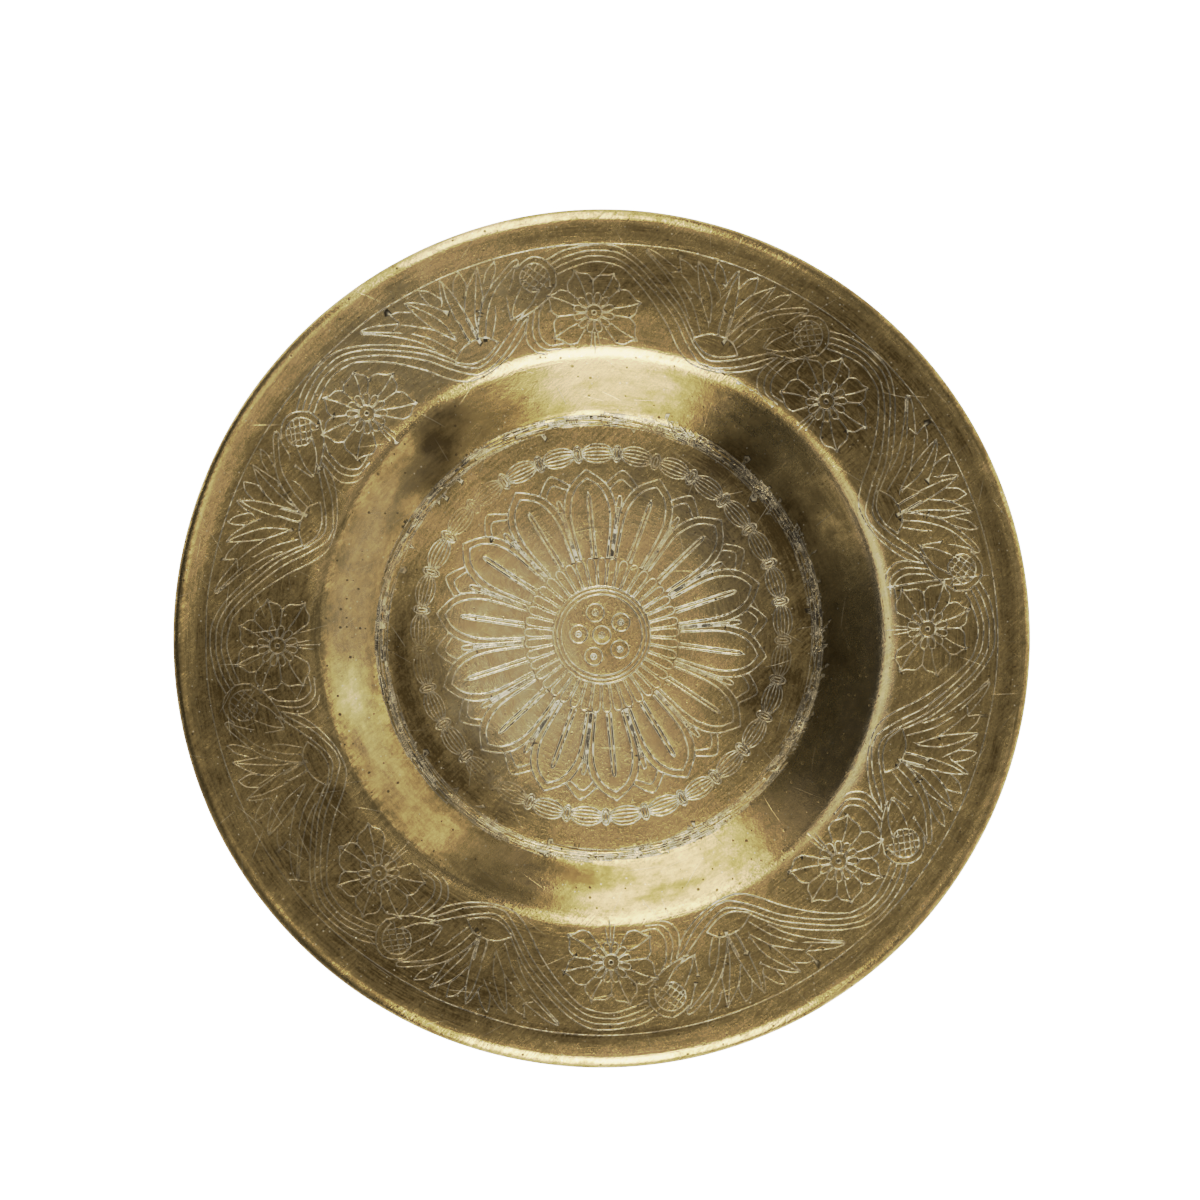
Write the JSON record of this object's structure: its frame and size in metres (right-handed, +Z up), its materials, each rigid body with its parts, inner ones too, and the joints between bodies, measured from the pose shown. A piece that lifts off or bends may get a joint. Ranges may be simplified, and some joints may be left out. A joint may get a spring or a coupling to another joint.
{
  "type": "round brass tray",
  "caption": "Round brass tray raised by hand, with a flat floor, a shallow well, a wide engraved rim and an edge rolled over a wire.",
  "frame": {"origin": "centre of the underside of the floor, which is the face the tray stands on", "axes": "+Z up, along the tray's axis; +X to the right and +Y to the top of the engraved design"},
  "size_m": [0.4, 0.4, 0.0248],
  "materials": {
    "aged_brass": "old hand-polished brass with brown patina, scratches and engraved lines",
    "iron_wire": "drawn iron wire with a thin brown rust"
  },
  "bodies": {
    "root": {"dish": "aged_brass", "edge_wire": "iron_wire"}
  },
  "joints": []
}
